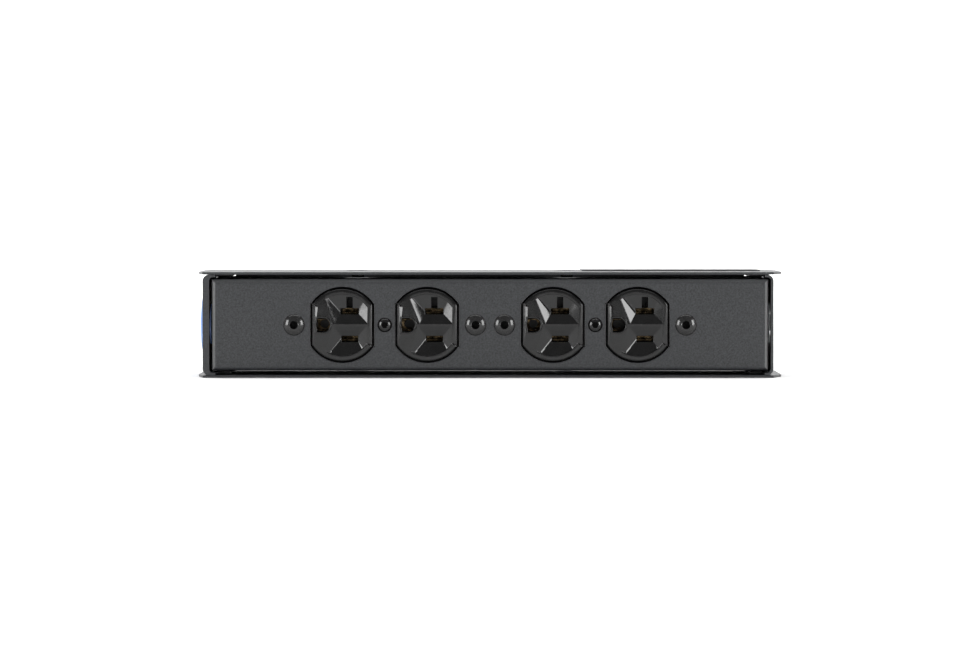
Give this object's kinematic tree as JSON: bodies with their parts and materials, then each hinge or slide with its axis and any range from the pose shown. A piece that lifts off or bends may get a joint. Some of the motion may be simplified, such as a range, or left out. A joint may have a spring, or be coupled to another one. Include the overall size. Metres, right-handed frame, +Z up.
{
  "type": "rack power strip",
  "caption": "Black sheet-steel power strip: an outlet box with two duplex receptacles held in an open sleeve with thin rail edges, inlet and breaker at the back.",
  "frame": {"origin": "centre of the bottom plate's underside, under the middle of the bounding box", "axes": "+X along the strip to the right as seen from the front, +Y towards the back, -Y out of the outlets, +Z up"},
  "size_m": [0.269, 0.0613, 0.0492],
  "materials": {
    "powder_coat": "fine-grained black powder coat on folded steel sheet",
    "receptacle_black": "moulded black nylon, glossy",
    "body_grey": "moulded thermoplastic",
    "zinc_steel": "zinc plated",
    "brass": "rolled brass",
    "copper": "tinned copper",
    "screw_green": "green dyed steel",
    "black_rivets": "black finished, satin sheen",
    "black_screws": "black oxide",
    "plug_blue": "light blue moulded plastic",
    "plate_black": "blank plate, no text",
    "inlet_black": "moulded black thermoplastic",
    "phenolic": "pressed phenolic board",
    "button_white": "moulded white plastic",
    "wire_black": "insulated wire",
    "wire_white": "insulated wire",
    "wire_green": "insulated wire"
  },
  "bodies": {
    "strip": {"sleeve_top_plate": "powder_coat", "sleeve_bottom_plate": "powder_coat", "sleeve_side_left": "powder_coat", "sleeve_side_right": "powder_coat", "hole_plug": "plug_blue", "rating_plate": "plate_black", "sleeve_screws": "black_screws", "sleeve_nuts": "zinc_steel", "outlet_box": "powder_coat", "back_panel": "powder_coat", "back_panel_screws": "black_screws", "back_panel_nuts": "zinc_steel", "strap_rivets": "black_rivets", "face_screws": "black_screws", "inlet_housing": "inlet_black", "inlet_pins": "zinc_steel", "breaker_case": "inlet_black", "breaker_base": "phenolic", "breaker_terminals": "zinc_steel", "breaker_nut": "zinc_steel", "ground_stud": "zinc_steel", "ground_nut": "zinc_steel", "ground_rings": "copper", "line_wires": "wire_black", "neutral_wires": "wire_white", "ground_wires": "wire_green", "left_cover": "receptacle_black", "left_body": "body_grey", "left_strap": "zinc_steel", "left_neutral_contacts": "brass", "left_line_contacts": "brass", "left_ground_contacts": "brass", "left_neutral_screws": "zinc_steel", "left_line_screws": "brass", "left_ground_screw": "screw_green", "right_cover": "receptacle_black", "right_body": "body_grey", "right_strap": "zinc_steel", "right_neutral_contacts": "brass", "right_line_contacts": "brass", "right_ground_contacts": "brass", "right_neutral_screws": "zinc_steel", "right_line_screws": "brass", "right_ground_screw": "screw_green"},
    "reset_button": {"breaker_button": "button_white"}
  },
  "joints": [
    {"name": "reset_button_slide", "type": "slide", "parent": "strip", "child": "reset_button", "axis": [0, 1, 0], "range_m": [0, 0.003]}
  ]
}
